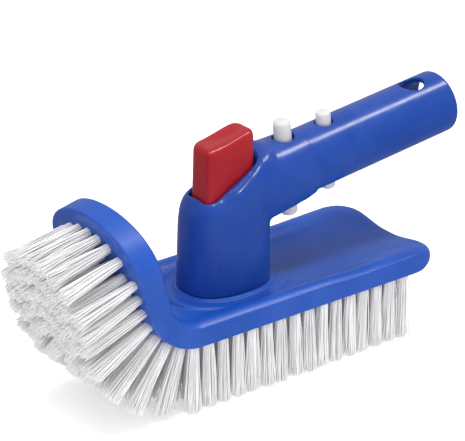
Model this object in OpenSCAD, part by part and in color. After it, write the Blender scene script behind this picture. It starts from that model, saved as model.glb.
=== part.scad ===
// Pool wall brush head: curled-toe back with nylon tufts, plug-on elbow with a
// push-button latch, and a handle tube with two pairs of sprung pins.
// Origin: middle of the elbow's post, on the plane of the tuft tips.
// +X towards the heel and the pole, -X towards the curled toe, +Z up.
// Name endings: _l length, _w width, _h height, _t thickness, _r radius,
// _s distance from the origin's upright along the leaning neck axis.

/* [Tufts] */
// Exposed length of a tuft, from the back to its tips
tuft_len = 31.5; // [28:0.5:36]
// Radius of a tuft at its root
tuft_r = 2.1; // [2.1:0.1:2.3]
// Radius of a tuft at its tips
tip_r = 3.1; // [2.3:0.1:3.1]
// Spacing of the tufts along a row on the flat
tuft_pitch = 7.7; // [7.4:0.05:7.8]
// Spacing of the rows
row_pitch = 6.47; // [6.3:0.01:6.5]
// Depth of the drilled tuft holes
hole_depth = 4.5; // [4.3:0.1:5]

/* [Back] */
// Width across the rims
back_w = 63.5; // [63:0.5:66]
// Height of the rim above the underside
rim_h = 10.8; // [10.2:0.1:11.4]
// Radius of the rolled rim
rim_r = 4.6; // [4:0.1:5]
// Thickness of the dished deck
deck_t = 6.5; // [6:0.1:7.5]
// Position of the heel end
heel_x = 92.7; // [90:0.5:100]
// Corner radius of the heel in plan
heel_r = 9; // [6:0.5:14]
// Where the flat ends and the toe starts to curl
curl_x = -34; // [-36:0.5:-33.5]
// Radius of the curl on the underside
curl_r = 26.6; // [26:0.2:30]
// Angle through which the toe curls up
curl_angle = 74; // [68:1:80]
// Length of the straight toe after the curl
toe_l = 40; // [38:1:46]
// Corner radius of the toe
toe_r = 25; // [22:0.5:27]

/* [Elbow] */
// Half length of the oval post
post_half_l = 21.5; // [21:0.1:22.2]
// Half width of the oval post
post_half_w = 15.5; // [15:0.1:16.2]
// Offset of the oval from the origin towards the heel
post_x = 1; // [0.8:0.1:1.2]
// Height at which the elbow sits on its pad
pad_z = 40.5; // [40.2:0.1:41]
// Height of the neck axis over the origin
axis_z = 79.9; // [79.5:0.1:81]
// Upward lean of the neck and handle tube
lean = 7.24; // [6:0.01:9]
// Outer radius of the neck at its end
neck_r = 15.4; // [15.2:0.1:16]
// Distance along the axis to the neck's end face, the stop for the pole
seam_s = 40.9; // [40.5:0.1:42]

/* [Handle tube] */
// Outer radius of the handle tube
tube_r = 14.2; // [14.1:0.05:14.4]
// Wall of the handle tube
tube_t = 2.4; // [2.2:0.1:2.5]
// Distance along the axis to the tube's free end
end_s = 121.3; // [116:0.1:135]
// Distance along the axis to the cross hole
cross_s = 106.4; // [100:0.1:108]
// Radius of the cross hole
cross_r = 5.7; // [4:0.1:6]

/* [Pins] */
// Distance along the axis to the neck pins
neck_pin_s = 33.4; // [32.5:0.1:34]
// Radius of the neck pins
neck_pin_r = 4.1; // [3.9:0.05:4.25]
// Height of the neck pins over the axis
neck_pin_h = 22; // [21:0.1:24]
// Distance along the axis to the pole pins
pole_pin_s = 55.9; // [55:0.1:56.5]
// Radius of the pole pins
pole_pin_r = 3.3; // [3.1:0.05:3.5]
// Height of the pole pins over the axis
pole_pin_h = 18.2; // [17.5:0.1:20]

/* [Push button] */
// Length of the button
btn_l = 25.9; // [25:0.1:26.4]
// Width of the button
btn_w = 15; // [14.8:0.1:15.2]
// Height of the button's top at the toe side
btn_z = 102.4; // [102:0.1:105]
// Travel of the button, and of the latch
travel = 4; // [3:0.1:4]

/* [Hidden] */
$fn = 64;
// back
blue = [0.10, 0.30, 0.75];
base_z = tuft_len;                     // flat underside
deck_z = base_z + deck_t;
curl_z = base_z + curl_r;              // centre of the curl
curl_l = curl_r * curl_angle * PI / 180;
half_w = back_w / 2;
fillet_r = 5;                          // between deck and rim
rim_y = half_w - rim_r;
rim_z = rim_h - rim_r;
fillet_y = rim_y - sqrt(pow(rim_r + fillet_r, 2) - pow(deck_t + fillet_r - rim_z, 2));
edge_cut = 0.9;                        // chamfer of the underside edges
toe_y = half_w - toe_r;                // centres of the toe's corners
// tufts
outer_row = 4;                         // rows run from -4 to 4
flat_spaces = 15;                      // tuft spaces on the flat
first_tuft_x = 80.7;
// stub on the pad, plugged into the elbow
stub_half_l = 17;
stub_half_w = 10.2;
stub_t = 2.8;
stub_z = 60;                           // top of the stub
floor_z = 62;                          // underside of the elbow's inner floor
shelf_z = axis_z + 4.4;                // top of the post
// tube
spigot_r = 12.6;                       // reduced end of the tube, in the neck
spigot_bore_r = 10.8;
tube_bore_r = tube_r - tube_t;
// button and latch
well_z = 66.5;                         // bottom of the button well
btn_x = -0.75;                         // middle of the button
btn_tilt = 15.5;                       // slope of its top
dish_r = 60;                           // thumb dish in its top
dish_depth = 0.7;
boss_z = 91;                           // underside of the boss in the button
cup_floor = 1.2;
cam_x = -3;                            // latch pin, at rest
cam_z = 50.5;
cam_w = 2.8;
cam_stem_l = 7;
cam_slot_w = 3.2;                      // slots that the cam slides in
stem_r = 3;                            // round top of the cam
latch_w = 5.8;
latch_h = 9.4;
tongue_h = 4.6;                        // latch end that enters the stub's wall
latch_pin_r = 1.5;
screw_y = 5.05;
// tops of the hollows in the pins, over the axis
neck_hollow_z = 19.5;
pole_hollow_z = 15.6;

// ---------- helpers ----------
// superellipse outline
function oval(half_l, half_w, power, count = 56) =
    [for (i = [0:count - 1]) let (t = 360 * (i + 0.5) / count)
        [half_l * sign(cos(t)) * pow(abs(cos(t)), 2 / power),
         half_w * sign(sin(t)) * pow(abs(sin(t)), 2 / power)]];

module prism(half_l, half_w, z0, z1, power = 2.8) {
    translate([post_x, 0, z0]) linear_extrude(z1 - z0) polygon(oval(half_l, half_w, power));
}

// box from x and z, centred on y = 0
module slab(x, z, size) {
    translate([x, -size[1] / 2, z]) cube(size);
}

module round_rect(l, w, r) {
    square([l, w - 2 * r], center = true);
    square([l - 2 * r, w], center = true);
    for (i = [-1, 1], j = [-1, 1]) translate([i * (l / 2 - r), j * (w / 2 - r)]) circle(r);
}

module both_sides() {
    for (m = [0, 1]) mirror([m, 0]) children();
}

// frame of the neck: local X along the tube, local Z its upward side
module leaned() {
    translate([0, 0, axis_z]) rotate([0, -lean, 0]) children();
}

// cylinder along the neck axis from s0 to s1
module along(s0, s1, r) {
    leaned() translate([s0, 0, 0]) rotate([0, 90, 0]) cylinder(r = r, h = s1 - s0);
}

// cylinder across the neck axis, reaching h to both sides
module across(s, r, h) {
    leaned() translate([s, 0, -h]) cylinder(r = r, h = 2 * h);
}

module at_screws(z) {
    for (side = [-1, 1]) translate([post_x, side * screw_y, z]) children();
}

// coil spring along local Z between z0 and z1, as a closed tube;
// steps per turn, sides around the wire
module coil(r, wire_r, z0, z1, turns, steps = 14, sides = 8) {
    last = turns * steps;
    rise = z1 - z0 - 2 * wire_r;
    function next(j) = (j + 1) % sides;
    polyhedron(
        points = [for (k = [0:last], j = [0:sides - 1])
            let (a = 360 * k / steps, b = 360 * j / sides, q = r + wire_r * cos(b))
            [q * cos(a), q * sin(a), z0 + wire_r + rise * k / last + wire_r * sin(b)]],
        faces = concat(
            [for (k = [0:last - 1], j = [0:sides - 1])
                [k * sides + j, k * sides + next(j), (k + 1) * sides + next(j)]],
            [for (k = [0:last - 1], j = [0:sides - 1])
                [k * sides + j, (k + 1) * sides + next(j), (k + 1) * sides + j]],
            [[for (j = [sides - 1:-1:0]) j]],
            [[for (j = [0:sides - 1]) last * sides + j]]));
}

// ---------- layout of the tufts ----------
// u runs along the underside: 0 where the curl starts, negative on the flat
function tilt_at(u) = u <= 0 ? 0 : u < curl_l ? u / curl_r * 180 / PI : curl_angle;
function x_at(u) = u <= 0 ? curl_x - u
    : curl_x - curl_r * sin(tilt_at(u)) - max(0, u - curl_l) * cos(curl_angle);
function z_at(u) = u <= 0 ? base_z
    : curl_z - curl_r * cos(tilt_at(u)) + max(0, u - curl_l) * sin(curl_angle);

// odd rows are staggered by half a pitch
function start_u(row) = curl_x - first_tuft_x - (row % 2 == 0 ? 0 : tuft_pitch / 2);
// the last tufts lie on an elliptic arc across the toe
function last_u(row) = curl_l + toe_l - 29.3 + 21.3 * sqrt(1 - pow(row * row_pitch / 27, 2));
// even pitch on the flat, then about 7.5 up to the last tuft
function row_u(row) =
    let (start = start_u(row), bend = start + flat_spaces * tuft_pitch,
         rest = last_u(row) - bend, count = round(rest / 7.5))
    concat([for (k = [0:flat_spaces]) start + k * tuft_pitch],
           [for (k = [1:count]) bend + rest * k / count]);
function is_edge(row, k, count) = abs(row) == outer_row || k == 0 || k == count - 1;

// which: "all", "edge" or "inner"
module each_tuft(which = "all") {
    for (row = [-outer_row:outer_row]) {
        us = row_u(row);
        for (k = [0:len(us) - 1])
            if (which == "all" || is_edge(row, k, len(us)) == (which == "edge"))
                translate([x_at(us[k]), row * row_pitch, z_at(us[k])])
                    rotate([0, tilt_at(us[k]), 0]) children();
    }
}

// origin at the mouth of the hole; the root is slotted for its anchor
module tuft() {
    difference() {
        union() {
            cylinder(r = tuft_r, h = hole_depth - 0.4, $fn = 16);
            translate([0, 0, -tuft_len])
                cylinder(r1 = tip_r, r2 = tuft_r, h = tuft_len, $fn = 16);
        }
        slab(-4, hole_depth - 2.6, [8, 0.7, 2.1]);
    }
}

// ---------- brush back ----------
// cross-section: x across the brush, y up from the underside
module section() {
    difference() {
        union() {
            translate([-half_w, 0]) square([back_w, deck_t]);
            both_sides() {
                translate([half_w - 2 * rim_r, 0]) square([2 * rim_r, rim_z]);
                translate([rim_y, rim_z]) circle(rim_r);
                difference() {
                    polygon([[fillet_y, deck_t - 1], [fillet_y, deck_t + fillet_r],
                             [rim_y, rim_z], [rim_y, deck_t - 1]]);
                    translate([fillet_y, deck_t + fillet_r]) circle(fillet_r);
                }
            }
        }
        both_sides()
            polygon([[half_w - edge_cut, -1], [half_w + 1, -1], [half_w + 1, edge_cut],
                     [half_w, edge_cut], [half_w - edge_cut, 0]]);
    }
}

// outer part of the section, measured from a toe corner's centre
module rim_section() {
    intersection() {
        translate([-toe_y, 0]) section();
        translate([0, -1]) square([toe_r + 1, rim_h + 2]);
    }
}

// straight toe towards -X, with the rim carried around its end
module toe() {
    translate([toe_r - toe_l, 0, 0]) {
        rotate([90, 0, 90]) linear_extrude(toe_l - toe_r) section();
        for (corner = [[toe_y, 90], [-toe_y, 180]])
            translate([0, corner[0], 0]) rotate([0, 0, corner[1]])
                rotate_extrude(angle = 90) rim_section();
        translate([0, toe_y, 0]) rotate([90, 0, 0])
            linear_extrude(2 * toe_y) mirror([1, 0]) rim_section();
    }
}

module curl() {
    translate([curl_x, 0, curl_z]) rotate([90, 0, 0]) rotate([0, 0, 270 - curl_angle])
        rotate_extrude(angle = curl_angle)
            translate([curl_r, 0]) mirror([1, 0]) rotate(-90) section();
}

// flat part of the back, with rounded corners at the heel
module heel() {
    flat_l = heel_x - curl_x;
    intersection() {
        translate([curl_x, 0, base_z]) rotate([90, 0, 90]) linear_extrude(flat_l) section();
        translate([curl_x, 0, base_z - 1]) linear_extrude(rim_h + 2) {
            translate([0, -half_w - 1]) square([flat_l - heel_r, back_w + 2]);
            translate([0, -half_w + heel_r]) square([flat_l, back_w - 2 * heel_r]);
            for (side = [-1, 1])
                translate([flat_l - heel_r, side * (half_w - heel_r)]) circle(heel_r);
        }
    }
}

module brush_back() {
    color(blue) difference() {
        union() {
            heel();
            curl();
            translate([curl_x, 0, curl_z]) rotate([0, curl_angle, 0])
                translate([0, 0, -curl_r]) toe();
            // ties the curl to the flat
            slab(curl_x - 1.5, base_z + 1, [3, 40, deck_t - 2.2]);
            // stepped pad and stub
            prism(29.5, 21.3, deck_z - 1, pad_z - 1.2, 2.2);
            prism(23.4, 17.2, deck_z - 1, pad_z, 2.2);
            prism(stub_half_l, stub_half_w, pad_z - 1, stub_z);
        }
        prism(stub_half_l - stub_t, stub_half_w - stub_t, pad_z - 2, stub_z + 1);
        // window for the latch
        slab(-18, cam_z - tongue_h / 2 - 0.3, [5.5, latch_w + 0.6, tongue_h + 0.6]);
        each_tuft() translate([0, 0, -1]) cylinder(r = tuft_r + 0.1, h = hole_depth + 1, $fn = 16);
    }
}

// ---------- tufts ----------
module edge_tufts() {
    color([0.93, 0.94, 0.95]) each_tuft("edge") tuft();
}

module inner_tufts() {
    color([0.88, 0.89, 0.90]) each_tuft("inner") tuft();
}

module tuft_anchors() {
    color("silver") each_tuft() slab(-2, hole_depth - 2.5, [4, 0.5, 1.9]);
}

// ---------- elbow ----------
// outline of the post from the side: x, z
post_side = [
    [-30, 36], [-30, 60], [-20.5, shelf_z - 8.5], [-19.4, shelf_z - 5.5],
    [-17.4, shelf_z - 2.6], [-14.6, shelf_z - 0.8], [-11, shelf_z + 1],
    [40, shelf_z + 1], [40, 36]];
// half outline of the post from its end, top to bottom: y, z
post_end = [
    [9, shelf_z + 2], [9.6, shelf_z], [12.2, shelf_z - 1.6], [14.4, shelf_z - 4.5],
    [15.5, shelf_z - 7.5], [25, 60], [25, 36]];
// outline of the neck: radius, distance along the axis;
// it swells out of the post, then narrows a little towards its end
neck_outline = [
    [0, -6], [9, -6], [10, -1], [11.5, 3], [13.3, 6.4], [15, 10], [16, 13], [16.6, 17],
    [16.8, 21], [16.4, 27], [15.8, 33], [neck_r, seam_s - 2], [neck_r, seam_s - 0.5],
    [neck_r - 0.5, seam_s], [0, seam_s]];

// oval post, its shoulders rounded off around the button
module post() {
    intersection() {
        prism(post_half_l, post_half_w, pad_z, shelf_z, 2.2);
        translate([0, 25, 0]) rotate([90, 0, 0]) linear_extrude(50) polygon(post_side);
        translate([-30, 0, 0]) rotate([90, 0, 90]) linear_extrude(80)
            polygon(concat([for (i = [len(post_end) - 1:-1:0]) [-post_end[i][0], post_end[i][1]]],
                           post_end));
    }
}

module neck() {
    leaned() rotate([0, 90, 0]) rotate_extrude() polygon(neck_outline);
}

module elbow_housing() {
    color([0.09, 0.27, 0.70]) difference() {
        union() {
            post();
            neck();
        }
        prism(stub_half_l + 0.25, stub_half_w + 0.25, pad_z - 1, floor_z);
        translate([btn_x, 0, well_z]) linear_extrude(50) round_rect(btn_l + 1, btn_w + 1, 4);
        along(17.5, seam_s + 1, spigot_r + 0.1);
        across(neck_pin_s, 5, 30);
        // slot for the cam's stem, through the floor
        slab(-cam_stem_l / 2 - 0.5, floor_z - 1, [cam_stem_l + 1, cam_w + 1, 10]);
        at_screws(floor_z - 1) cylinder(r = 1.25, h = 4.4, $fn = 24);
    }
}

module handle_tube() {
    color([0.10, 0.30, 0.74]) difference() {
        union() {
            along(seam_s, end_s, tube_r);
            along(18, seam_s + 1, spigot_r);
        }
        along(17, 48.5, spigot_bore_r);
        along(46.5, end_s + 1, tube_bore_r);
        // shallow band around the pole pins
        difference() {
            along(49.5, 62.5, tube_r + 2);
            along(48.5, 63.5, tube_r - 0.25);
        }
        across(neck_pin_s, neck_pin_r + 0.1, 20);
        across(pole_pin_s, 4, 20);
        across(cross_s, cross_r, 20);
    }
}

// ---------- push button and latch ----------
// top sloping up to the heel, with a shallow thumb dish
module button_shell() {
    dish_rise = dish_r - dish_depth;
    difference() {
        translate([btn_x, 0, 75]) linear_extrude(btn_z - 66) round_rect(btn_l, btn_w, 3.5);
        translate([btn_x - btn_l / 2, 0, btn_z]) rotate([0, -btn_tilt, 0])
            slab(-5, 0, [50, 40, 20]);
        translate([btn_x - dish_rise * sin(btn_tilt), 20,
                   btn_z + btn_l / 2 * tan(btn_tilt) + dish_rise * cos(btn_tilt)])
            rotate([90, 0, 0]) cylinder(r = dish_r, h = 40, $fn = 128);
        translate([btn_x, 0, 74]) linear_extrude(25.5) round_rect(btn_l - 3.2, btn_w - 3.2, 2);
    }
}

module release_button() {
    color([0.72, 0.10, 0.14]) difference() {
        union() {
            button_shell();
            translate([0, 0, boss_z]) cylinder(r = 5.6, h = 9);
        }
        translate([0, 0, boss_z - 1]) cylinder(r = stem_r + 0.02, h = 10);
    }
}

module push_cam() {
    color("white") difference() {
        union() {
            slab(-6, 44.5, [12, cam_w, 14.5]);
            slab(-cam_stem_l / 2, 58.5, [cam_stem_l, cam_w, boss_z - 58.5]);
            translate([0, 0, boss_z - 1]) cylinder(r = stem_r, h = 9.5);
        }
        // slot that draws the latch in as the cam goes down
        for (d = [-0.3, travel + 0.3])
            translate([cam_x + d, 2, cam_z + d]) rotate([90, 0, 0]) cylinder(r = 1.55, h = 4);
        translate([cam_x - 0.3, 0, cam_z - 0.3]) rotate([0, -45, 0])
            slab(0, -1.55, [(travel + 0.6) * sqrt(2), 4, 3.1]);
    }
}

module button_spring() {
    color("silver")
        coil(r = 4.7, wire_r = 0.5, z0 = well_z + cup_floor + 0.1, z1 = boss_z - 0.1, turns = 7);
}

module spring_cup() {
    color([0.85, 0.85, 0.86]) translate([0, 0, well_z]) difference() {
        cylinder(r = 7.6, h = 3.2);
        translate([0, 0, cup_floor]) cylinder(r = 6.3, h = 3);
        translate([0, 0, -1]) cylinder(r = 4, h = 4);
    }
}

module lock_latch() {
    tongue_z = cam_z - tongue_h / 2;
    color([0.92, 0.92, 0.90]) difference() {
        union() {
            slab(-9, cam_z - latch_h / 2, [18.5, latch_w, latch_h]);
            difference() {
                slab(-15.8, tongue_z, [8, latch_w, tongue_h]);
                // bevelled underside, so that the stub pushes the latch back
                translate([-17.8, 0, tongue_z]) rotate([0, 45, 0]) slab(0, 0, [3, 8, 3]);
            }
        }
        slab(-10.3, cam_z - 6, [16.6, cam_slot_w, 12]);
        translate([cam_x, 5, cam_z]) rotate([90, 0, 0]) cylinder(r = latch_pin_r + 0.02, h = 10);
    }
}

module latch_pin() {
    color("silver") translate([cam_x, latch_w / 2, cam_z]) rotate([90, 0, 0])
        cylinder(r = latch_pin_r, h = latch_w);
}

// fills the stub, with a cap over its rim
module latch_carrier() {
    color([0.20, 0.22, 0.25]) difference() {
        union() {
            prism(stub_half_l - stub_t - 0.4, stub_half_w - stub_t - 0.4, 42.5, 60.6);
            prism(stub_half_l - 0.1, stub_half_w - 0.1, 60.3, floor_z);
        }
        slab(-20, cam_z - latch_h / 2 - 0.2, [40, latch_w + 0.4, latch_h + 0.4]);
        slab(-6.2, 41.5, [12.4, cam_slot_w, 22]);
        at_screws(41.5) cylinder(r = 1.4, h = 22, $fn = 24);
    }
}

// heads down, with a cross recess
module carrier_screws() {
    color("silver") at_screws(0) difference() {
        union() {
            translate([0, 0, 40.9]) cylinder(r = 2.2, h = 1.6, $fn = 24);
            translate([0, 0, 42]) cylinder(r = 1.2, h = 23, $fn = 24);
        }
        for (a = [0, 90]) rotate([0, 0, a]) slab(-1.5, 40.4, [3, 0.6, 1.3]);
    }
}

// ---------- sprung pins ----------
// hollow pin with a flange at its foot and a rounded top
module pin(r, top, flange_z, hollow_r, hollow_z) {
    round_r = 1.6;
    rotate_extrude() difference() {
        union() {
            translate([0, flange_z]) square([5.2, 1.3]);
            translate([0, flange_z]) square([r, top - flange_z - round_r]);
            translate([0, flange_z]) square([r - round_r, top - flange_z]);
            translate([r - round_r, top - round_r]) circle(round_r);
        }
        translate([-5, flange_z - 1]) square([5 + hollow_r, hollow_z - flange_z + 1]);
        // keeps the profile on one side of its axis
        translate([-10, flange_z - 2]) square([10, 60]);
    }
}

// pins and springs in the frame of the neck
module neck_pin() {
    translate([neck_pin_s, 0, 0]) pin(neck_pin_r, neck_pin_h, 8, 2.8, neck_hollow_z);
}

module pole_pin() {
    translate([pole_pin_s, 0, 0]) pin(pole_pin_r, pole_pin_h, 9.1, 2.1, pole_hollow_z);
}

module pin_spring(s, r, wire_r, half_l) {
    translate([s, 0, 0]) coil(r, wire_r, -half_l, half_l, turns = 12, steps = 12, sides = 6);
}

module neck_pin_upper() {
    color("white") leaned() neck_pin();
}

module neck_pin_lower() {
    color("white") leaned() mirror([0, 0, 1]) neck_pin();
}

module neck_pin_spring() {
    color("silver") leaned() pin_spring(neck_pin_s, 2.2, 0.35, neck_hollow_z - 0.1);
}

module pole_pin_upper() {
    color("white") leaned() pole_pin();
}

module pole_pin_lower() {
    color("white") leaned() mirror([0, 0, 1]) pole_pin();
}

module pole_pin_spring() {
    color("silver") leaned() pin_spring(pole_pin_s, 1.6, 0.3, pole_hollow_z - 0.1);
}

brush_back();
edge_tufts();
inner_tufts();
tuft_anchors();
elbow_housing();
handle_tube();
release_button();
push_cam();
button_spring();
spring_cup();
lock_latch();
latch_pin();
latch_carrier();
carrier_screws();
neck_pin_upper();
neck_pin_lower();
neck_pin_spring();
pole_pin_upper();
pole_pin_lower();
pole_pin_spring();
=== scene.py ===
import math
import bpy
import numpy as np
from mathutils import Matrix, Vector


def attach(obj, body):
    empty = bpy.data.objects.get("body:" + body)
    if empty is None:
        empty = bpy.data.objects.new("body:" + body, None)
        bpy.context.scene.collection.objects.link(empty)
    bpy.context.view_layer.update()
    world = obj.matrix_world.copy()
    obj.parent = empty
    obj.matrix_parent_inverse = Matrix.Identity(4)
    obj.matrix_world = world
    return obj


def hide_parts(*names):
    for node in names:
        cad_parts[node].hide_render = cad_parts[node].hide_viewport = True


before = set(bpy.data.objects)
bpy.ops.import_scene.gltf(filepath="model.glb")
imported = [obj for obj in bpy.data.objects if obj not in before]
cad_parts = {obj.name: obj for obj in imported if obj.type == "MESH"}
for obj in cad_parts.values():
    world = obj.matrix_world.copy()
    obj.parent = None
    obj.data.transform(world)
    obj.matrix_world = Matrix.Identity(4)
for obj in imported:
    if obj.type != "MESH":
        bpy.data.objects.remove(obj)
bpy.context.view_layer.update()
MM = 0.001

# ------------------------------------------------------------------ sizes (mm)
NX, NR, NA = -34.0, 26.6, math.radians(70.0)     # curl of the toe: first arc
NR2, U_END, TOE_L = 287.8, 74.26, 21.6           # long arc after it, end of the toe, half ellipse of the toe
HEEL_X, HEEL_R = 96.7, 9.8
HW, RIM_H, RIM_R = 31.75, 10.65, 4.6
BASE = 31.5
NZ = BASE + NR
ARC = NR * NA
X_END = NX - U_END
AXIS_Z, LEAN = 79.9, math.radians(7.24)
CL, SL = math.cos(LEAN), math.sin(LEAN)
SEAM, END_S, NECK_R, TUBE_R, TUBE_I = 40.9, 121.3, 15.4, 14.2, 11.8
NPIN, PPIN, CROSS = 33.4, 55.9, 106.4


# ------------------------------------------------------------------ implicit surfaces
def smin(a, b, k):
    h = np.clip(0.5 + 0.5 * (b - a) / k, 0, 1)
    return b * (1 - h) + a * h - k * h * (1 - h)


def smax(a, b, k):
    return -smin(-a, -b, k)


def sstep(a, b, x):
    t = np.clip((x - a) / (b - a), 0, 1)
    return t * t * (3 - 2 * t)


def rbox2(x, y, bx, by, r):
    qx, qy = np.abs(x) - bx + r, np.abs(y) - by + r
    return np.hypot(np.maximum(qx, 0), np.maximum(qy, 0)) + np.minimum(np.maximum(qx, qy), 0) - r


def sup(x, y, a, b, n=2.8):
    """Signed distance, to first order, to an oval |x/a|^n + |y/b|^n = 1."""
    u, v = np.abs(x) / a + 1e-9, np.abs(y) / b + 1e-9
    g = (u ** n + v ** n) ** (1 / n)
    dx = g ** (1 - n) * u ** (n - 1) / a
    dy = g ** (1 - n) * v ** (n - 1) / b
    return (g - 1) / np.maximum(np.hypot(dx, dy), 1e-6)


def iso(f, lo, hi, step, relax=3):
    """Closed quad mesh of f = 0: surface nets, evened out and then moved on to the surface."""
    lo, hi = np.array(lo, float), np.array(hi, float)
    n = np.ceil((hi - lo) / step).astype(int) + 1
    ax = [lo[i] + step * np.arange(n[i]) for i in range(3)]
    V = f(ax[0][:, None, None], ax[1][None, :, None], ax[2][None, None, :])
    V = np.broadcast_to(V, tuple(n)).astype(float)
    V = np.where(np.abs(V) < 1e-9, 1e-9, V)
    ins = V < 0
    cnt = np.zeros(tuple(n - 1), np.int8)
    for i in (0, 1):
        for j in (0, 1):
            for k in (0, 1):
                cnt += ins[i:n[0] - 1 + i, j:n[1] - 1 + j, k:n[2] - 1 + k]
    mixed = (cnt > 0) & (cnt < 8)
    idx = np.full(mixed.shape, -1, np.int64)
    cells = np.argwhere(mixed)
    idx[mixed] = np.arange(len(cells))
    acc, w = np.zeros((len(cells), 3)), np.zeros(len(cells))
    for d in range(3):
        o = [e for e in range(3) if e != d]
        for p in (0, 1):
            for q in (0, 1):
                a = cells.copy()
                a[:, o[0]] += p
                a[:, o[1]] += q
                b = a.copy()
                b[:, d] += 1
                va, vb = V[tuple(a.T)], V[tuple(b.T)]
                m = (va < 0) != (vb < 0)
                t = np.where(m, va / np.where(m, va - vb, 1), 0)
                pt = a.astype(float)
                pt[:, d] += t
                acc[m] += pt[m]
                w[m] += 1
    P = lo + step * acc / w[:, None]
    quads = []
    for d in range(3):
        o1, o2 = (d + 1) % 3, (d + 2) % 3
        sl_a = [slice(1, -1)] * 3
        sl_b = [slice(1, -1)] * 3
        sl_a[d] = slice(0, -1)
        sl_b[d] = slice(1, None)
        A, B = ins[tuple(sl_a)], ins[tuple(sl_b)]
        e = np.argwhere(A != B)
        flip = A[tuple(e.T)]
        e[:, o1] += 1
        e[:, o2] += 1
        c = []
        for p, q in ((0, 0), (-1, 0), (-1, -1), (0, -1)):
            k = e.copy()
            k[:, o1] += p
            k[:, o2] += q
            c.append(idx[tuple(k.T)])
        c = np.stack(c, 1)
        quads.append(np.where(flip[:, None], c, c[:, ::-1]))
    F = np.concatenate(quads)
    assert F.min() >= 0

    def val(p):
        return f(p[:, 0], p[:, 1], p[:, 2])

    def snap(p, times):
        h = 0.02
        for _ in range(times):
            g = np.stack([(val(p + d) - val(p - d)) / (2 * h) for d in np.eye(3) * h], 1)
            v = val(p)
            mv = (v / np.maximum((g ** 2).sum(1), 0.05))[:, None] * g
            ln = np.linalg.norm(mv, axis=1, keepdims=True)
            p = p - mv * np.minimum(1, 0.6 * step / np.maximum(ln, 1e-9))
        return p

    E = np.concatenate([F[:, [i, (i + 1) % 4]] for i in range(4)])
    deg = np.bincount(E[:, 0], minlength=len(P)) + np.bincount(E[:, 1], minlength=len(P))
    P = snap(P, 2)
    for _ in range(relax):
        s = np.stack([np.bincount(E[:, 0], P[E[:, 1], k], len(P)) + np.bincount(E[:, 1], P[E[:, 0], k], len(P)) for k in range(3)], 1)
        P = snap(P + 0.5 * (s / deg[:, None] - P), 1)
    return snap(P, 2), F


def add_mesh(name, P, F, body, mat, node=None, smooth=True, tone=None):
    """P in mm in the row frame; F rows of vertex numbers."""
    P, F = np.asarray(P, float) * MM, np.asarray(F)
    me = bpy.data.meshes.new(name)
    me.vertices.add(len(P))
    me.vertices.foreach_set("co", P.astype(np.float32).ravel())
    me.loops.add(F.size)
    me.loops.foreach_set("vertex_index", F.astype(np.int32).ravel())
    me.polygons.add(len(F))
    me.polygons.foreach_set("loop_start", np.arange(0, F.size, F.shape[1], dtype=np.int32))
    me.polygons.foreach_set("loop_total", np.full(len(F), F.shape[1], np.int32))
    me.polygons.foreach_set("use_smooth", np.full(len(F), smooth))
    me.update(calc_edges=True)
    me.validate()
    if tone is not None:
        a = me.attributes.new("tone", "FLOAT", "POINT")
        a.data.foreach_set("value", np.asarray(tone, np.float32))
    me.materials.append(mat)
    ob = bpy.data.objects.new(name, me)
    bpy.context.scene.collection.objects.link(ob)
    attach(ob, body)
    if node:
        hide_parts(*([node] if isinstance(node, str) else node))
    return ob


def curl(s):
    """Angle of the underside and its centre of curvature at a distance s round the toe."""
    s = np.maximum(s, 0)
    a = np.where(s < ARC, s / NR, NA + (s - ARC) / NR2)
    d = NR2 - NR
    cx = np.where(s < ARC, NX, NX + d * math.sin(NA))
    cz = np.where(s < ARC, NZ, NZ + d * math.cos(NA))
    return a, cx, cz, np.where(s < ARC, NR, NR2)


def bend(P):
    """Wraps points given as (x, y, height over the underside) round the curl of the toe."""
    x, y, h = P[:, 0], P[:, 1], P[:, 2]
    s = NX - x
    a, cx, cz, R = curl(s)
    X = np.where(s > 0, cx - (R - h) * np.sin(a), x)
    Z = np.where(s > 0, cz - (R - h) * np.cos(a), BASE + h)
    return np.stack([X, y, Z], 1)


def leaned(P):
    """Neck frame (along, across, up) to row frame."""
    return np.stack([P[:, 0] * CL - P[:, 2] * SL, P[:, 1], AXIS_Z + P[:, 0] * SL + P[:, 2] * CL], 1)


# ------------------------------------------------------------------ materials
def mat_new(name):
    m = bpy.data.materials.new(name)
    m.use_nodes = True
    nt = m.node_tree
    return m, nt, nt.nodes["Principled BSDF"]


def link(nt, a, b):
    nt.links.new(a, b)


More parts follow.
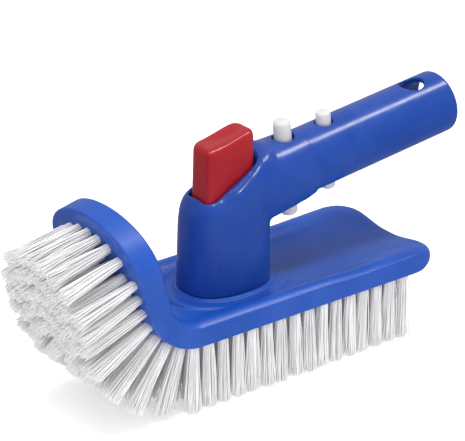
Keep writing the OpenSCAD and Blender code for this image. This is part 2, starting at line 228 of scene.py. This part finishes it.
def plastic(name, col, rough=0.32, var=0.06, grain=900.0, bump=0.05, ior=1.48, sss=0.0, sss_r=(1, 1, 1), coat=0.0, scuff=0.25, edge=0.12):
    """Moulded plastic: slight flow mottling in the colour, fine satin grain, faint scuffs, and a painted highlight that
    pales convex edges (edge sets its strength).
    """
    m, nt, b = mat_new(name)
    N = nt.nodes
    tc = N.new("ShaderNodeTexCoord")

    def noise(scale, detail=3.0, rough_=0.55, dist=0.0):
        n = N.new("ShaderNodeTexNoise")
        n.inputs["Scale"].default_value = scale
        n.inputs["Detail"].default_value = detail
        n.inputs["Roughness"].default_value = rough_
        n.inputs["Distortion"].default_value = dist
        link(nt, tc.outputs["Object"], n.inputs["Vector"])
        return n

    def ramp(src, lo, hi, a, c):
        r = N.new("ShaderNodeMapRange")
        r.inputs["From Min"].default_value = lo
        r.inputs["From Max"].default_value = hi
        r.inputs["To Min"].default_value = a
        r.inputs["To Max"].default_value = c
        link(nt, src, r.inputs["Value"])
        return r.outputs["Result"]

    mott = noise(28, 4, 0.6, 0.4)
    mix = N.new("ShaderNodeMix")
    mix.data_type = "RGBA"
    d = [c * (1 - var) for c in col]
    l = [min(1, c * (1 + var) + 0.01) for c in col]
    mix.inputs[6].default_value = (*d, 1)
    mix.inputs[7].default_value = (*l, 1)
    link(nt, ramp(mott.outputs["Fac"], 0.35, 0.65, 0, 1), mix.inputs[0])
    # painted highlight: where Pointiness shows a convex edge, the colour is blended up to halfway towards a paler one
    geo = N.new("ShaderNodeNewGeometry")
    edge_highlight_mix = N.new("ShaderNodeMix")
    edge_highlight_mix.data_type = "RGBA"
    edge_highlight_col = [min(1, c + edge * (1 - c)) for c in col]
    edge_highlight_mix.inputs[7].default_value = (*edge_highlight_col, 1)
    link(nt, ramp(geo.outputs["Pointiness"], 0.54, 0.64, 0, 0.5), edge_highlight_mix.inputs[0])
    link(nt, mix.outputs[2], edge_highlight_mix.inputs[6])
    link(nt, edge_highlight_mix.outputs[2], b.inputs["Base Color"])
    sc = noise(140, 6, 0.7, 1.2)
    fine = noise(grain, 2, 0.5)
    add = N.new("ShaderNodeMath")
    add.operation = "ADD"
    link(nt, ramp(sc.outputs["Fac"], 0.45, 0.75, rough, rough + scuff * 0.3), add.inputs[0])
    link(nt, ramp(fine.outputs["Fac"], 0.3, 0.7, -0.03, 0.03), add.inputs[1])
    link(nt, add.outputs[0], b.inputs["Roughness"])
    bp = N.new("ShaderNodeBump")
    bp.inputs["Strength"].default_value = bump * 0.5
    bp.inputs["Distance"].default_value = 0.0002
    link(nt, fine.outputs["Fac"], bp.inputs["Height"])
    bp2 = N.new("ShaderNodeBump")
    bp2.inputs["Strength"].default_value = bump * 0.6
    bp2.inputs["Distance"].default_value = 0.001
    link(nt, noise(60, 2, 0.4).outputs["Fac"], bp2.inputs["Height"])
    link(nt, bp.outputs["Normal"], bp2.inputs["Normal"])
    link(nt, bp2.outputs["Normal"], b.inputs["Normal"])
    b.inputs["IOR"].default_value = ior
    b.inputs["Coat Weight"].default_value = coat
    b.inputs["Coat Roughness"].default_value = 0.2
    if sss:
        b.inputs["Subsurface Weight"].default_value = sss
        b.inputs["Subsurface Radius"].default_value = sss_r
        b.inputs["Subsurface Scale"].default_value = 0.0015
    return m


def filament_mat():
    m, nt, b = mat_new("bristle_nylon")
    N = nt.nodes
    at = N.new("ShaderNodeAttribute")
    at.attribute_name = "tone"
    mix = N.new("ShaderNodeMix")
    mix.data_type = "RGBA"
    mix.inputs[6].default_value = (0.74, 0.735, 0.74, 1)
    mix.inputs[7].default_value = (0.89, 0.885, 0.89, 1)
    link(nt, at.outputs["Fac"], mix.inputs[0])
    tc = N.new("ShaderNodeTexCoord")
    n = N.new("ShaderNodeTexNoise")
    n.inputs["Scale"].default_value = 700
    n.inputs["Detail"].default_value = 2
    link(nt, tc.outputs["Object"], n.inputs["Vector"])
    r = N.new("ShaderNodeMapRange")
    r.inputs["To Min"].default_value = 0.28
    r.inputs["To Max"].default_value = 0.5
    link(nt, n.outputs["Fac"], r.inputs["Value"])
    link(nt, r.outputs["Result"], b.inputs["Roughness"])
    link(nt, mix.outputs[2], b.inputs["Base Color"])
    bp = N.new("ShaderNodeBump")
    bp.inputs["Strength"].default_value = 0.1
    bp.inputs["Distance"].default_value = 0.0001
    link(nt, n.outputs["Fac"], bp.inputs["Height"])
    link(nt, bp.outputs["Normal"], b.inputs["Normal"])
    b.inputs["IOR"].default_value = 1.53
    # painted light: a faint white emission makes the filaments glow a little brighter
    b.inputs["Emission Color"].default_value = (1, 1, 1, 1)
    b.inputs["Emission Strength"].default_value = 0.02
    return m


def metal(name, col, rough=0.28):
    """Drawn stainless wire: fine noise in colour, roughness and bump, and uneven polish."""
    m, nt, b = mat_new(name)
    N = nt.nodes
    b.inputs["Metallic"].default_value = 1.0
    tc = N.new("ShaderNodeTexCoord")
    n = N.new("ShaderNodeTexNoise")
    n.inputs["Scale"].default_value = 1200
    n.inputs["Detail"].default_value = 4
    link(nt, tc.outputs["Object"], n.inputs["Vector"])
    cr = N.new("ShaderNodeMix")
    cr.data_type = "RGBA"
    cr.inputs[6].default_value = (*[c * 0.82 for c in col], 1)
    cr.inputs[7].default_value = (*col, 1)
    link(nt, n.outputs["Fac"], cr.inputs[0])
    link(nt, cr.outputs[2], b.inputs["Base Color"])
    r = N.new("ShaderNodeMapRange")
    r.inputs["To Min"].default_value = rough - 0.08
    r.inputs["To Max"].default_value = rough + 0.14
    link(nt, n.outputs["Fac"], r.inputs["Value"])
    link(nt, r.outputs["Result"], b.inputs["Roughness"])
    bp = N.new("ShaderNodeBump")
    bp.inputs["Strength"].default_value = 0.15
    bp.inputs["Distance"].default_value = 0.0001
    link(nt, n.outputs["Fac"], bp.inputs["Height"])
    link(nt, bp.outputs["Normal"], b.inputs["Normal"])
    return m


BLUE = plastic("blue_back", (0.0070, 0.070, 0.40), rough=0.33, bump=0.02, edge=0.05)
NECK = plastic("blue_elbow", (0.0070, 0.048, 0.29), rough=0.20, bump=0.02, edge=0.05)
TUBE = plastic("blue_tube", (0.0070, 0.050, 0.295), rough=0.20, bump=0.02, edge=0.05)
RED = plastic("red_button", (0.33, 0.007, 0.013), rough=0.20, bump=0.02, edge=0.08)
NYLON = plastic("white_nylon", (0.62, 0.615, 0.635), rough=0.34, var=0.03, bump=0.08, sss=0.5, scuff=0.3, edge=0.1)
BRISTLE = filament_mat()
DARK = plastic("dark_carrier", (0.03, 0.032, 0.038), rough=0.5, bump=0.1)
STEEL = metal("spring_steel", (0.62, 0.62, 0.64))

for n, m in (("tuft_anchors", STEEL), ("push_cam", NYLON), ("button_spring", STEEL), ("spring_cup", NYLON),
             ("lock_latch", NYLON), ("latch_pin", STEEL), ("latch_carrier", DARK), ("carrier_screws", STEEL),
             ("neck_pin_spring", STEEL), ("pole_pin_spring", STEEL)):
    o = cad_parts[n]
    o.data.materials.clear()
    o.data.materials.append(m)


# ------------------------------------------------------------------ brush back
def ell_dist(px, py, a, b):
    """Distance from the first-quadrant point (px, py) to an ellipse, negative inside."""
    tx = ty = np.full(np.broadcast(px, py).shape, 0.7071)
    for _ in range(4):
        ex, ey = (a * a - b * b) * tx ** 3 / a, (b * b - a * a) * ty ** 3 / b
        rr = np.hypot(a * tx - ex, b * ty - ey)
        qq = np.maximum(np.hypot(px - ex, py - ey), 1e-9)
        tx = np.clip(((px - ex) * rr / qq + ex) / a, 0, 1)
        ty = np.clip(((py - ey) * rr / qq + ey) / b, 0, 1)
        t = np.maximum(np.hypot(tx, ty), 1e-9)
        tx, ty = tx / t, ty / t
    d = np.hypot(px - a * tx, py - b * ty)
    return np.where((px / a) ** 2 + (py / b) ** 2 < 1, -d, d)


def side_dist(x, y):
    """Distance inwards from the rim's outer edge, which runs along both sides and round the toe."""
    q = (X_END + TOE_L) - x
    y = np.abs(y)
    e = -ell_dist(np.maximum(q, 0), y, TOE_L, HW)
    return np.where(q > 0, np.where(q > TOE_L * 0.2, e, np.minimum(e, HW - y + 0 * e)), HW - y)


def back_f(x, y, h):
    d = side_dist(x, y)
    rt = RIM_H + 2.17 * np.clip((NX - x) / U_END, 0, 1) - 1.0 * sstep(30, 55, x) - 1.3 * sstep(62, 96, x) - 2.2 * sstep(86, 97, x)
    rim = np.where(h > rt - RIM_R, np.hypot(d - RIM_R, h - (rt - RIM_R)), np.abs(d - RIM_R)) - RIM_R
    deck_h = 6.5 + 1.2 * sstep(-30, -110, x) + 0.0016 * np.minimum(y * y, 400) + sstep(45, 90, x) * (0.3 + 2.0 * sstep(3, 22, np.abs(y)))
    top = smin(rim, h - deck_h, 5.0)
    # oval pad, in two low steps, and the hollow stub
    px = x - 1.0
    pad = smax(sup(px, y, 29.4, 21.3, 2.2), h - 7.9, 1.0)
    pad2 = smax(sup(px, y, 23.3, 17.1, 2.2), h - 9.0, 0.6)
    top = smin(top, pad, 1.8)
    top = smin(top, pad2, 0.9)
    stub = smax(sup(px, y, 17, 10.2), h - 28.5, 0.8)
    top = np.minimum(top, stub)
    body = np.maximum(top, -d)
    # heel end
    qx, qy = x - (HEEL_X - HEEL_R), np.abs(y) - (HW - HEEL_R)
    heel = np.hypot(np.maximum(qx, 0), np.maximum(qy, 0)) + np.minimum(np.maximum(qx, qy), 0) - HEEL_R
    k = 0.05 + 5.0 * sstep(HEEL_X - HEEL_R - 6, HEEL_X - 3, x)
    body = smax(body, heel, k)
    # small chamfer along the lower edge; the tuft field stands a little proud of the band inside it
    edge = np.maximum(-d, heel)
    body = smax(body, (edge - h * 1.0 + 0.75) * 0.707, 0.3)
    under = -h + 0.45 * (1 - sstep(4.6, 5.4, d))
    body = smax(body, under, 0.5 + 3.0 * sstep(HEEL_X - HEEL_R - 2, HEEL_X - 2, x))
    hole = smax(sup(px, y, 14.2, 7.4), 7.0 - h, 0.6)
    body = smax(body, -hole, 0.5)
    win = np.maximum(np.maximum(np.abs(x + 15.0) - 2.6, np.abs(y) - 3.2), np.abs(h - 19.0) - 2.6)
    return smax(body, -win, 0.3)


def neck_xyz(x, y, z):
    """Row frame to neck frame."""
    zz = z - AXIS_Z
    return x * CL + zz * SL, y, -x * SL + zz * CL


# ------------------------------------------------------------------ elbow
def elbow_f(x, y, z):
    s, t, u = neck_xyz(x, y, z)
    rr = np.hypot(t, u)
    # neck: swells near the post, mostly on its underside, and narrows to its end face
    low = np.clip(0.5 - 0.5 * u / np.maximum(rr, 1e-6), 0, 1)
    nr = 16.2 - 0.9 * sstep(14, 38, s) + low * (1.1 - 0.3 * sstep(28, 36, s) - 0.8 * sstep(36, 41, s))
    neck = smax(rr - nr, 10.0 - s, 8.0)
    # post: slightly drafted oval whose shoulders round over on to a shelf at the toe side
    px = x - 1.0
    g = 0.020 * (z - 56)
    gx = 0.011 * np.maximum(z - 67, 0) ** 2 * (1 - sstep(-2, 12, x))
    post = sup(x - 0.3, y, 20.5 - g - gx, 15.2 - g, 2.5)
    t7 = x + 7.0
    flat = sstep(-10, -1, x)
    shelf = z - 85.4 + 1.1 * flat - 0.30 * (t7 + np.hypot(t7, 3.0)) - 1.6 * (1 - sstep(-16, -8, x))
    lip = 0.5 * np.exp(-((x + 1.0) / 7.0) ** 2 - ((z - 84.5) / 6.0) ** 2)
    post = smax(post - lip * sstep(6, 13, np.abs(y)), shelf, 13.0 - 6.0 * flat)
    body = smin(post, neck, 1.9 + 1.7 * sstep(-9, 3, u))
    body = smax(body, s - SEAM, 0.45)
    body = smax(body, 40.5 - z, 0.8)
    well = smax(rbox2(x + 0.75, y, 13.45, 8.0, 4.0), 66.5 - z, 0.6)
    body = smax(body, -well, 1.6)
    bore = smax(rr - 12.7, 17.5 - s, 0.4)
    body = smax(body, -bore, 0.5)
    sock = smax(sup(px, y, 17.25, 10.45), z - 62.0, 0.6)
    body = smax(body, -sock, 0.5)
    hole = np.hypot(s - NPIN, t) - 4.9
    body = smax(body, -np.maximum(hole, 10 - np.abs(u)), 0.7)
    cam = np.maximum(np.maximum(np.abs(x) - 4.0, np.abs(y) - 1.9), np.abs(z - 64.0) - 4)
    return smax(body, -cam, 0.4)


def tube_f(s, t, u):
    r = np.hypot(t, u)
    outer = smax(smax(r - TUBE_R, s - END_S, 1.6), SEAM - s, 0.4)
    spig = smax(r - 12.6, 18 - s, 1.0)
    body = np.minimum(outer, np.maximum(spig, s - 45))
    bore = np.minimum(np.maximum(r - 10.8, s - 48.5), np.maximum(r - TUBE_I, 46.5 - s))
    body = smax(body, -bore, 1.0)
    for c, rad in ((PPIN, 4.0), (CROSS, 5.7)):
        body = smax(body, -(np.hypot(s - c, t) - rad), 0.8)
    return smax(body, -(np.hypot(s - NPIN, t) - 4.2), 0.4)


def button_f(x, y, z):
    px = x + 0.75
    # crisp corners at the toe side, softer ones at the heel side, and a rounded far corner at the toe
    r = np.where(px < 0, np.where(y > 0, 5.5, 2.6), 4.6)
    side = rbox2(px, y, 12.95 - 0.012 * (z - 84), 7.5 - 0.012 * (z - 84), r)
    # top rises to the heel side, with a shallow thumb dish
    lp = px + 7.6
    tz = 104.7 + 0.145 * (lp + np.hypot(lp, 3.0)) - 0.014 * np.maximum(px - 3, 0) ** 2 - 0.03 * np.maximum(-y - 2, 0) ** 2
    dish = 1.1 * np.exp(-((px - 2) / 7.0) ** 2 - (y / 4.4) ** 2)
    out = smax(side, (z - (tz - dish)) * 0.95, 3.0)
    out = smax(out, 75 - z, 0.5)
    inner = smax(rbox2(px, y, 11.35, 5.9, 2), z - 99.0, 0.5)
    inner = smax(inner, -(np.maximum(np.hypot(x, y) - 5.6, 91 - z)), 0.5)
    out = smax(out, -inner, 0.4)
    return smax(out, -np.maximum(np.hypot(x, y) - 3.02, z - 99.8), 0.3)


q = 1.0
P, F = iso(back_f, (X_END - 2, -33.5, -1.5), (HEEL_X + 2, 33.5, 30.5), 0.6 * q)
add_mesh("Brush_back", bend(P), F, "head", BLUE, "brush_back")
P, F = iso(elbow_f, (-22.5, -19, 39.3), (44, 19, 106), 0.5 * q)
add_mesh("Elbow", P, F, "head", NECK, "elbow_housing")
P, F = iso(tube_f, (16.5, -15.5, -15.5), (123, 15.5, 15.5), 0.5 * q)
add_mesh("Handle_tube", leaned(P), F, "head", TUBE, "handle_tube")
P, F = iso(button_f, (-15.2, -9, 73.8), (13.8, 9, 111), 0.4 * q)
add_mesh("Red_button", P, F, "button", RED, "release_button")


# ------------------------------------------------------------------ pins, turned
def lathe(prof, seg=72):
    """Closed (radius, height) loop turned about the vertical."""
    pr = np.array(prof, float)
    n = len(pr)
    a = 2 * math.pi * np.arange(seg) / seg
    P = np.stack([pr[None, :, 0] * np.cos(a)[:, None], pr[None, :, 0] * np.sin(a)[:, None], pr[None, :, 1] + 0 * a[:, None]], 2).reshape(-1, 3)
    F = []
    for i in range(seg):
        for j in range(n):
            k, l = (i + 1) % seg, (j + 1) % n
            F.append((i * n + j, k * n + j, k * n + l, i * n + l))
    return P, np.array(F)


def arc_pts(cx, cy, r, a0, a1, n):
    return [(cx + r * math.cos(math.radians(a0 + (a1 - a0) * i / n)), cy + r * math.sin(math.radians(a0 + (a1 - a0) * i / n))) for i in range(n + 1)]


def pin_profile(r, top, fr, fz, hr, hz):
    e = 0.05
    pr = [(hr, fz + 0.15), (hr + 0.15, fz)]
    pr += arc_pts(fr - 0.35, fz + 0.35, 0.35, -90, 0, 4)
    pr += arc_pts(fr - 0.35, fz + 1.3 - 0.35, 0.35, 0, 90, 4)
    pr += arc_pts(r + 0.25, fz + 1.3 + 0.25, 0.25, 270, 180, 3)
    pr += [(r, fz + 1.3 + (top - fz - 4) * k / 8) for k in range(1, 8)]
    rt = r * 0.48
    pr += arc_pts(r - rt, top - 0.25 - rt, rt, 0, 82, 9)
    pr += [((r - rt) * (1 - k / 4), top - 0.25 * (1 - k / 4) ** 2 * 0.96) for k in range(1, 4)]
    pr += [(e, top), (e, hz)]
    pr += arc_pts(hr - 0.4, hz - 0.4, 0.4, 90, 0, 3)
    return pr


def pin(name, s, r, top, fz, hr, hz, body, node, side):
    P, F = lathe(pin_profile(r, top, 5.2, fz, hr, hz))
    # set at its station along the neck; the lower pin is mirrored to point downwards
    P[:, 0] += s
    if side < 0:
        P[:, 2] *= -1
        F = F[:, ::-1]
    add_mesh(name, leaned(P), F, body, NYLON, node)


pin("Neck_pin_top", NPIN, 3.85, 23.2, 8.0, 2.8, 19.5, "neck_pin_top", "neck_pin_upper", 1)
pin("Neck_pin_bottom", NPIN, 3.85, 22.2, 8.0, 2.8, 19.5, "neck_pin_bottom", "neck_pin_lower", -1)
pin("Pole_pin_top", PPIN, 3.3, 19.3, 9.1, 2.1, 15.6, "pole_pin_top", "pole_pin_upper", 1)
pin("Pole_pin_bottom", PPIN, 3.3, 18.4, 9.1, 2.1, 15.6, "pole_pin_bottom", "pole_pin_lower", -1)


# ------------------------------------------------------------------ tufts
PITCH, ROW, TUFT_R, TIP_R, LEN = 7.7, 6.47, 2.1, 3.1, 31.5


def rows():
    out = []
    for j in range(-4, 5):
        a = NX - 80.7 - (0 if j % 2 == 0 else PITCH / 2)
        b = a + 15 * PITCH
        c = 45.1 + 21.3 * math.sqrt(1 - (j * ROW / 27) ** 2)
        n = round((c - b) / 7.5)
        us = [a + k * PITCH for k in range(16)] + [b + (c - b) * k / n for k in range(1, n + 1)]
        for k, u in enumerate(us):
            out.append((u, j * ROW, abs(j) == 4 or k == 0 or k == len(us) - 1))
    return out


def tufts(name, which, node, seed):
    rng = np.random.default_rng(seed)
    per, sides, rings = ((84, 5, 7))
    allP, allF, allT, base = [], [], [], 0
    ring_a = 2 * math.pi * np.arange(sides) / sides
    for (u, y, edge) in rows():
        if edge != which:
            continue
        # filament roots in a packed disc
        k = np.arange(per)
        rad = np.sqrt((k + 0.5) / per)
        ang = k * 2.399963 + rng.uniform(0, 6.28)
        rx, ry = rad * np.cos(ang), rad * np.sin(ang)
        jit = rng.normal(0, 0.05, (2, per))
        rx, ry = rx + jit[0], ry + jit[1]
        lean_x, lean_y = rng.normal(0, 0.45), rng.normal(0, 0.45)
        tip = TIP_R + (0.55 if u > 0 else 0.1)
        tipx = rx * tip * rng.normal(1, 0.10, per) + lean_x + rng.normal(0, 0.28, per)
        tipy = ry * tip * rng.normal(1, 0.10, per) + lean_y + rng.normal(0, 0.28, per)
        ln = LEN + rng.normal(0, 0.35, per) - 0.9 * rng.random(per) ** 4 - 0.5 * rad ** 2
        # the tufts at the toe are trimmed a little shorter
        ln = np.minimum(ln, LEN + 0.35) - 2.2 * min(max((u - 25) / 35, 0), 1)
        fr = 0.235 * rng.normal(1, 0.06, per)
        bow = rng.normal(0, 0.35, (2, per))
        wav = rng.uniform(0, 6.28, per)
        tn = rng.uniform(0, 1, per)
        # heights: the root starts a little inside the back
        tt = np.linspace(0, 1, rings)
        for r_i, t in enumerate(tt):
            h = 1.2 - (ln + 1.2) * t
            e = t ** 1.15
            cx = rx * (TUFT_R - 0.15) * (1 - e) + tipx * e + bow[0] * math.sin(math.pi * t) + 0.06 * np.sin(wav + 9 * t)
            cy = ry * (TUFT_R - 0.15) * (1 - e) + tipy * e + bow[1] * math.sin(math.pi * t) + 0.06 * np.cos(wav + 8 * t)
            w = fr * (1.0 if r_i < rings - 1 else 0.8)
            X = cx[:, None] + w[:, None] * np.cos(ring_a)[None]
            Y = cy[:, None] + w[:, None] * np.sin(ring_a)[None]
            H = np.repeat(h[:, None], sides, 1)
            allP.append(np.stack([X, Y, H], 2).reshape(-1, 3) if False else None)
            if r_i == 0:
                blk = np.zeros((per, rings, sides, 3))
            blk[:, r_i, :, 0], blk[:, r_i, :, 1], blk[:, r_i, :, 2] = X, Y, H
            allP.pop()
        loc = blk.reshape(-1, 3)
        if u <= 0:
            a, ox, oz = 0.0, NX - u, BASE
        else:
            a, cx_, cz_, R_ = (float(v) for v in curl(u))
            ox, oz = cx_ - R_ * math.sin(a), cz_ - R_ * math.cos(a)
        W = np.stack([ox + loc[:, 0] * math.cos(a) + loc[:, 2] * math.sin(a), y + loc[:, 1], oz - loc[:, 0] * math.sin(a) + loc[:, 2] * math.cos(a)], 1)
        allP.append(W)
        f0 = base + (np.arange(per) * rings * sides)[:, None, None]
        rr_ = (np.arange(rings - 1) * sides)[None, :, None]
        ss = np.arange(sides)[None, None, :]
        s2 = (np.arange(sides) + 1) % sides
        q0 = f0 + rr_ + ss
        q1 = f0 + rr_ + s2[None, None, :]
        allF.append(np.stack([q0, q0 + sides, q1 + sides, q1], 3).reshape(-1, 4))
        allT.append(np.repeat(tn, rings * sides))
        base += per * rings * sides
    P, F, T = np.concatenate(allP), np.concatenate(allF), np.concatenate(allT)
    # end caps as fans of one quad or a quad and a triangle would mix sizes, so each end gets a centre point
    nfil = len(P) // (rings * sides)
    st = np.arange(nfil) * rings * sides
    caps, extraP, extraT = [], [], []
    Pr = P.reshape(nfil, rings, sides, 3)
    for end, ring in ((0, 0), (1, rings - 1)):
        c = Pr[:, ring].mean(1)
        if end:
            dirn = Pr[:, -1].mean(1) - Pr[:, -2].mean(1)
            c = c + 0.12 * dirn / np.linalg.norm(dirn, axis=1, keepdims=True)
        ci = len(P) + len(extraP) * nfil + np.arange(nfil)
        extraP.append(c)
        extraT.append(T.reshape(nfil, -1)[:, 0])
        for i in range(sides):
            a_, b_ = st + ring * sides + i, st + ring * sides + (i + 1) % sides
            caps.append(np.stack([ci, a_, b_] if end == 0 else [ci, b_, a_], 1))
    P = np.concatenate([P] + extraP)
    T = np.concatenate([T] + extraT)
    tri = np.concatenate([F[:, [0, 1, 2]], F[:, [0, 2, 3]]] + caps)
    return add_mesh(name, P, tri, "head", BRISTLE, node, tone=T)


tufts("Edge_tufts", True, "edge_tufts", 11)
tufts("Inner_tufts", False, "inner_tufts", 12)

# ------------------------------------------------------------------ studio
bpy.ops.mesh.primitive_plane_add(size=6, location=(0, 0, -0.0002))
floor = bpy.context.object
floor.name = "Floor"
fm, fnt, fb = mat_new("floor_pale")
fb.inputs["Base Color"].default_value = (0.95, 0.95, 0.95, 1)
fb.inputs["Roughness"].default_value = 0.9
fb.inputs["Specular IOR Level"].default_value = 0.0
fb.inputs["Emission Color"].default_value = (1, 1, 1, 1)
fb.inputs["Emission Strength"].default_value = 0.38
floor.data.materials.append(fm)
floor.visible_glossy = False

world = bpy.data.worlds.new("Studio")
bpy.context.scene.world = world
world.use_nodes = True
wn = world.node_tree.nodes
bg = wn["Background"]
bg.inputs["Color"].default_value = (1, 1, 1, 1)
# the backdrop is white to the camera; what the object sees is a studio that is dim in front and bright behind and above
geo_w = wn.new("ShaderNodeNewGeometry")
dot = wn.new("ShaderNodeVectorMath")
dot.operation = "DOT_PRODUCT"
dot.inputs[1].default_value = (-0.50, -0.62, -0.60)
link(world.node_tree, geo_w.outputs["Incoming"], dot.inputs[0])
mr = wn.new("ShaderNodeMapRange")
mr.inputs["From Min"].default_value = -0.5
mr.inputs["From Max"].default_value = 1.0
mr.inputs["To Min"].default_value = 0.06
mr.inputs["To Max"].default_value = 0.48
link(world.node_tree, dot.outputs["Value"], mr.inputs["Value"])
lp_w = wn.new("ShaderNodeLightPath")
mg = wn.new("ShaderNodeMix")
mg.data_type = "FLOAT"
link(world.node_tree, lp_w.outputs["Is Glossy Ray"], mg.inputs[0])
mg.inputs[2].default_value = 0.55
link(world.node_tree, mr.outputs["Result"], mg.inputs[3])
mx = wn.new("ShaderNodeMix")
mx.data_type = "FLOAT"
link(world.node_tree, lp_w.outputs["Is Camera Ray"], mx.inputs[0])
link(world.node_tree, mg.outputs[0], mx.inputs[2])
mx.inputs[3].default_value = 1.0
link(world.node_tree, mx.outputs[0], bg.inputs["Strength"])


def area(name, loc, size, size_y, power, glossy=True):
    """Soft box aimed at the brush, its long side along X."""
    l = bpy.data.lights.new(name, "AREA")
    l.energy = power
    l.shape = "RECTANGLE"
    l.size, l.size_y = size, size_y
    o = bpy.data.objects.new(name, l)
    bpy.context.scene.collection.objects.link(o)
    z = (Vector(loc) - Vector((0.02, 0, 0.05))).normalized()
    x = (Vector((1, 0, 0)) - z * z.x).normalized()
    m = Matrix((x, z.cross(x), z)).transposed().to_4x4()
    m.translation = loc
    o.matrix_world = m
    o.visible_glossy = glossy
    return o


area("Strip", (0.50, -0.17, 1.14), 0.62, 0.15, 5)
area("Key", (-0.252, -0.298, 1.13), 0.16, 0.16, 2.2)
area("Top", (-0.15, 0.1, 1.2), 0.8, 0.8, 5, glossy=False)
area("Front", (-0.72, -1.08, 0.6), 1.2, 1.0, 6.1, glossy=False)

# camera, at the photograph's viewing angle
az, el, roll = (math.radians(v) for v in (-38.21, 24.42, 0.89))
ca, sa, ce, se = math.cos(az), math.sin(az), math.cos(el), math.sin(el)
right, up_, fwd = Vector((ca, sa, 0)), Vector((-se * sa, se * ca, ce)), Vector((-sa * ce, ca * ce, -se))
c_, s_ = math.cos(roll), math.sin(roll)
r2, u2 = c_ * right + s_ * up_, -s_ * right + c_ * up_
pos = (-10.37 * r2 + 57.17 * u2 - 976.21 * fwd + Vector((19.5, 0, 0))) * MM
cam = bpy.data.cameras.new("Camera")
cam.lens = 2220.90 * 36 / 465
cam.sensor_width = 36
cam.clip_end = 20
cam.shift_x, cam.shift_y = -0.5 / 465, 0.5 / 465
co = bpy.data.objects.new("Camera", cam)
bpy.context.scene.collection.objects.link(co)
M = Matrix((r2, u2, -fwd)).transposed().to_4x4()
M.translation = pos
co.matrix_world = M
bpy.context.scene.camera = co
bpy.context.scene.view_settings.view_transform = "Standard"
